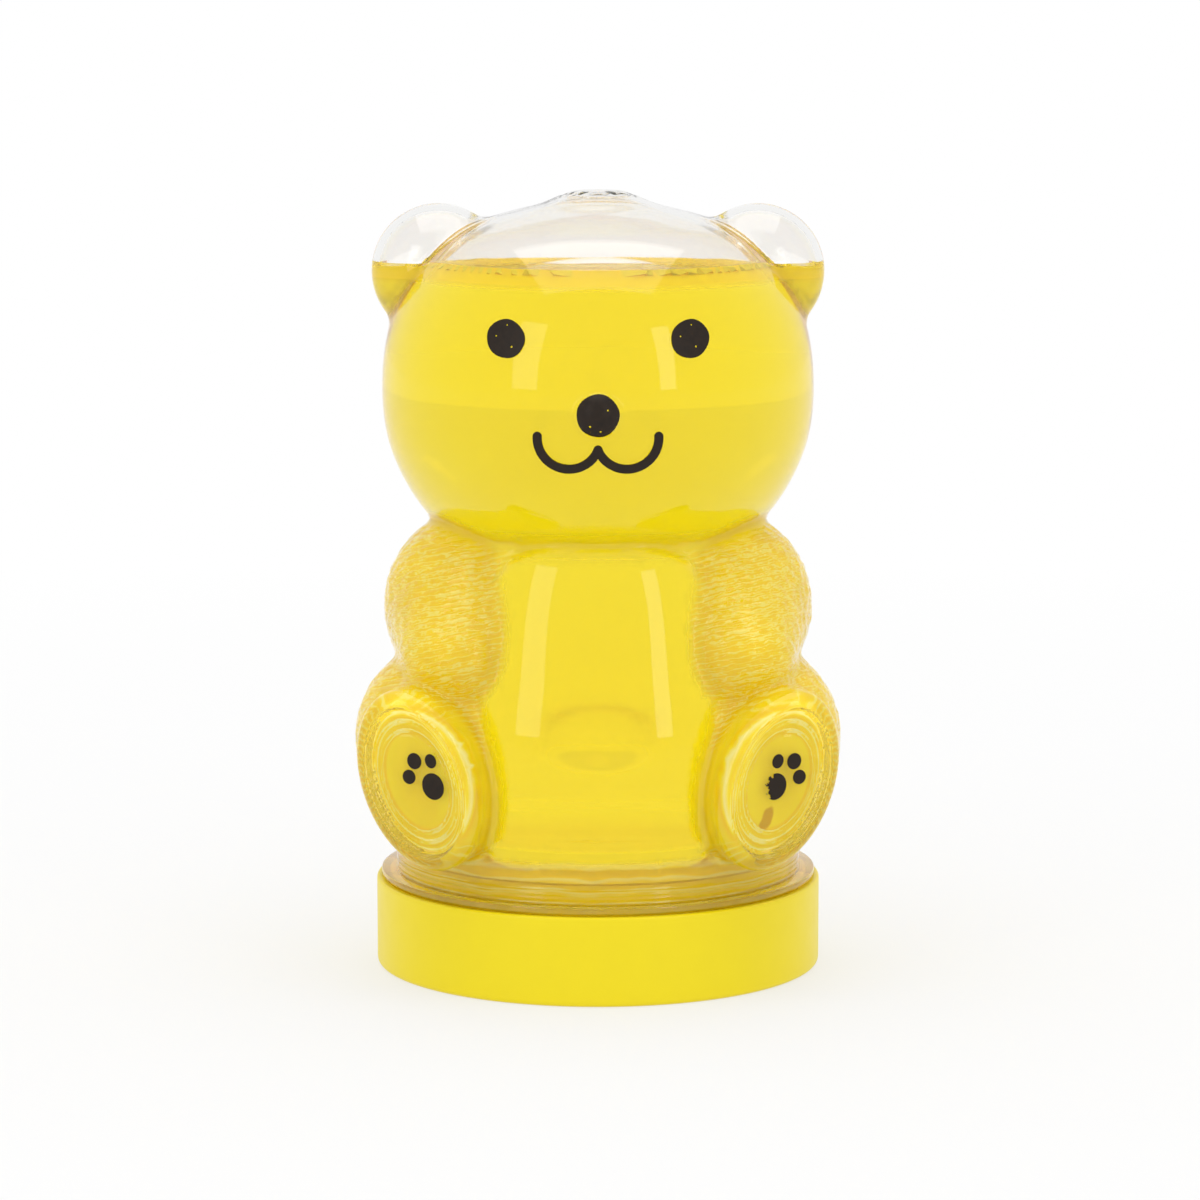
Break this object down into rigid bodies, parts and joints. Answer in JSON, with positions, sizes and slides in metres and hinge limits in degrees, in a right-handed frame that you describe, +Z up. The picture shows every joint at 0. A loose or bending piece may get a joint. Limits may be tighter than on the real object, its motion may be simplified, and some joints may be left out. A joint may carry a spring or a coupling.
{
  "type": "honey bear bottle",
  "caption": "Clear bear-shaped honey bottle that stands head up on its wide screw cap, filled with honey, with printed face and paw prints.",
  "frame": {"origin": "centre of the screw cap's flat underside, on the axis of the cap and the neck", "axes": "+Z up along the axis to the top of the head, the bear faces -Y, +X to the right of someone who looks at its face"},
  "size_m": [0.0782, 0.0735, 0.1265],
  "materials": {
    "clear_plastic": "clear glossy blow-moulded plastic",
    "honey": "clear bright yellow honey",
    "yellow_plastic": "smooth semi-gloss moulded plastic",
    "white_foam": "matt foam disc",
    "black_ink": "glossy black printing ink, a little chipped"
  },
  "bodies": {
    "cap": {"screw_cap": "yellow_plastic"},
    "liner": {"cap_liner": "white_foam"},
    "bear": {"bear_jar": "clear_plastic", "honey_fill": "honey", "left_eye": "black_ink", "right_eye": "black_ink", "nose": "black_ink", "mouth": "black_ink", "left_paw_print": "black_ink", "right_paw_print": "black_ink"}
  },
  "joints": [
    {"name": "unscrew", "type": "hinge", "parent": "cap", "child": "liner", "pos_m": [0, 0, 0], "axis": [0, 0, 1], "range_deg": [0, 1063]},
    {"name": "screw_lift", "type": "slide", "parent": "liner", "child": "bear", "axis": [0, 0, 1], "range_m": [0, 0.0125]}
  ],
  "couplings": [
    {"joint": "screw_lift", "follows": "unscrew", "m_per_rad": 0.0006737}
  ]
}
